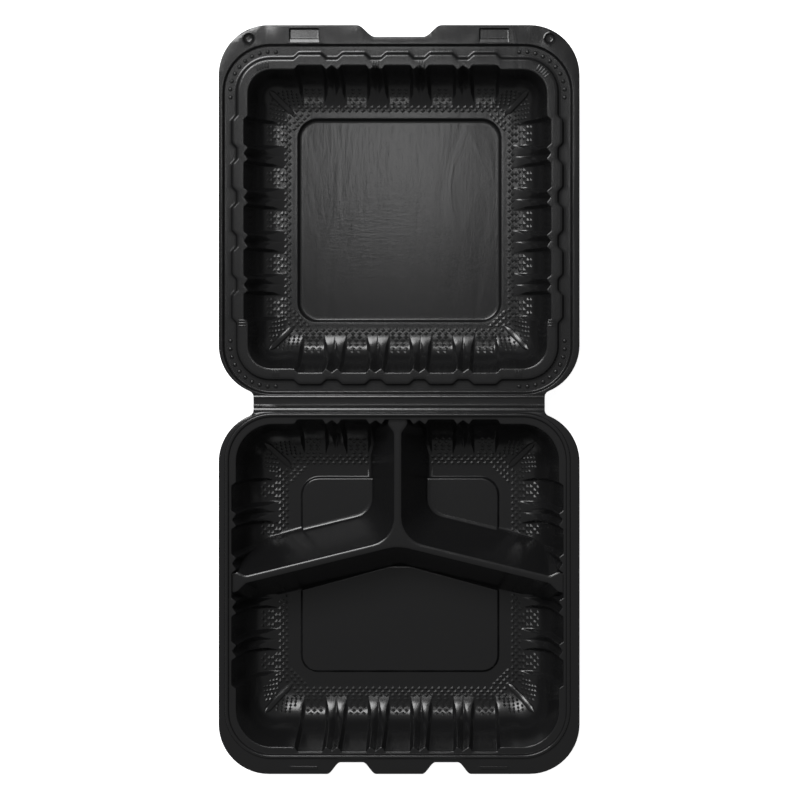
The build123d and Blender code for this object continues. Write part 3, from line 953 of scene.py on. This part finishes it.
def form_ledge_bars():
    """Hatches of bars across the lid's ledge: three on its sides, five fanned out at corners."""
    bm = bmesh.new()
    for quarter, along in SIDE_HATCHES:
        turn = quarter_turn(quarter, 4)
        for step in range(-1, 2):
            spot = turn @ Vector((along + step * HATCH_PITCH, -LEDGE_HALF, 0))
            soft_bar(bm, spot, turn, HATCH_BAR)
    for quarter, middle in CORNER_HATCHES:
        turn = quarter_turn(quarter, 4)
        for step in range(-2, 3):
            azimuth = middle + step * FAN_PITCH
            spot = turn @ Vector((LID["middle"] + LEDGE_CORNER * cos(azimuth),
                                  LEDGE_CORNER * sin(azimuth) - LID["middle"], 0))
            soft_bar(bm, spot, turn @ Matrix.Rotation(azimuth + pi / 2, 4, "Z"), FAN_BAR)
    return finish_piece(bm, "lid_ledge_bars", plastic)


lid_sheet = form_lid()
tray_sheet = form_tray()
hinge_strip = form_strip()
lid_texture = form_texture(LID, "lid_texture", 2, 7)
tray_texture = form_texture(TRAY, "tray_texture", 3, 8)
lid_bars = form_corner_bars(LID, "lid_corner_bars")
tray_bars = form_corner_bars(TRAY, "tray_corner_bars")
vents = form_vents()
ledge_bars = form_ledge_bars()

for piece, thick in ((lid_sheet, SHEET), (tray_sheet, SHEET), (hinge_strip, STRIP_SHEET)):
    gauge = piece.modifiers.new("gauge", "SOLIDIFY")
    gauge.thickness = thick * MM
    gauge.offset = -1
    weigh = piece.modifiers.new("weigh", "WEIGHTED_NORMAL")
    weigh.keep_sharp = True

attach(lid_sheet, "lid")
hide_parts("lid")
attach(tray_sheet, "base")
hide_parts("base")
for piece, body in ((lid_texture, "lid"), (lid_bars, "lid"), (vents, "lid"), (ledge_bars, "lid"),
                    (tray_texture, "base"), (tray_bars, "base")):
    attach(piece, body)
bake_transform(hinge_strip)


# Floor, lights and camera

def white_paper():
    """White paper that also lifts itself to white where the camera sees it."""
    paper = bpy.data.materials.new("white_paper")
    paper.use_nodes = True
    nodes, links = paper.node_tree.nodes, paper.node_tree.links
    shader = nodes["Principled BSDF"]
    shader.inputs["Base Color"].default_value = (0.9, 0.9, 0.9, 1)
    shader.inputs["Roughness"].default_value = 0.9
    shader.inputs["Emission Color"].default_value = (1, 1, 1, 1)
    path = nodes.new("ShaderNodeLightPath")
    lift = nodes.new("ShaderNodeMath")
    lift.operation = "MULTIPLY"
    lift.inputs[1].default_value = 0.9
    links.new(path.outputs["Is Camera Ray"], lift.inputs[0])
    links.new(lift.outputs["Value"], shader.inputs["Emission Strength"])
    return paper


# The floor lies just under the container, so that the two don't share a plane
FLOOR_SIZE = 6
FLOOR_GAP = 0.0002
bpy.ops.mesh.primitive_plane_add(size=FLOOR_SIZE, location=(0, 0, -FLOOR_GAP))
floor = bpy.context.object
floor.name = "studio_floor"
floor.data.materials.append(white_paper())

world = bpy.context.scene.world or bpy.data.worlds.new("studio")
bpy.context.scene.world = world
world.use_nodes = True
world.node_tree.nodes["Background"].inputs["Color"].default_value = (0.22, 0.22, 0.22, 1)
world.node_tree.nodes["Background"].inputs["Strength"].default_value = 1.0


def softbox(name, place, aim, wide, tall, power):
    """A soft rectangular lamp that faces a point."""
    lamp = bpy.data.lights.new(name, "AREA")
    lamp.shape = "RECTANGLE"
    lamp.size, lamp.size_y = wide, tall
    lamp.energy = power
    box = bpy.data.objects.new(name, lamp)
    box.location = place
    box.rotation_euler = (Vector(aim) - Vector(place)).to_track_quat("-Z", "Y").to_euler()
    bpy.context.collection.objects.link(box)


softbox("key", (-0.5, 0.98, 1.45), (0, 0.05, 0), 0.9, 0.7, 25)
softbox("overhead", (-0.07, 0.27, 1.6), (0, 0.1, 0), 0.18, 0.22, 0.78)

# The camera looks straight down on the plane of the rim from this height, in metres. One
# pixel is this wide there, and the fold's middle shows at this place in the frame.
DISTANCE = 1.23
FRAME = 800
PIXEL = 0.00064
FOLD_PIXEL = (397.4, 402.3)
SENSOR = 36
SHIFT_X, SHIFT_Y = -0.1, -0.15
camera = bpy.data.objects.new("camera", bpy.data.cameras.new("camera"))
bpy.context.collection.objects.link(camera)
view_x = FORM_X * MM + (FRAME / 2 - FOLD_PIXEL[0]) * PIXEL
view_y = FOLD_Y * MM + (FOLD_PIXEL[1] - FRAME / 2) * PIXEL
camera.location = (view_x - SHIFT_X * FRAME * PIXEL, view_y - SHIFT_Y * FRAME * PIXEL,
                   RIM * MM + DISTANCE)
camera.data.sensor_width = SENSOR
camera.data.lens = SENSOR * DISTANCE / (FRAME * PIXEL)
camera.data.shift_x, camera.data.shift_y = SHIFT_X, SHIFT_Y
camera.data.clip_start, camera.data.clip_end = 0.05, 20
bpy.context.scene.camera = camera
bpy.context.scene.view_settings.view_transform = "Standard"
